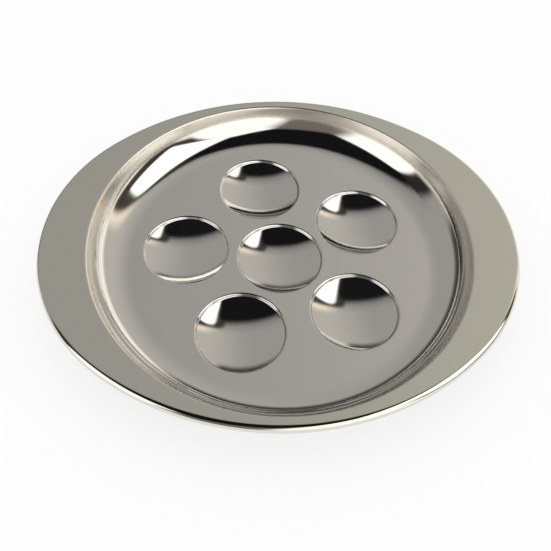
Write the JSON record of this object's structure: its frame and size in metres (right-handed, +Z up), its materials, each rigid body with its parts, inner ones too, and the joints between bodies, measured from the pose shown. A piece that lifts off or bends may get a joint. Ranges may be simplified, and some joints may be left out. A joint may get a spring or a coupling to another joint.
{
  "type": "escargot plate",
  "caption": "Oval stainless steel serving plate with a flat rolled rim, a round bowl and round wells pressed in its floor to hold snails in butter.",
  "frame": {"origin": "under the middle of the plate, on the plane where the wells touch the table", "axes": "+X along the long axis of the oval, +Y along its short axis, +Z up, out of the bowl's mouth"},
  "size_m": [0.184, 0.1568, 0.0193],
  "materials": {
    "steel": "stainless steel sheet, mirror polished, with fine scratches from use"
  },
  "bodies": {
    "root": {"plate": "steel"}
  },
  "joints": []
}
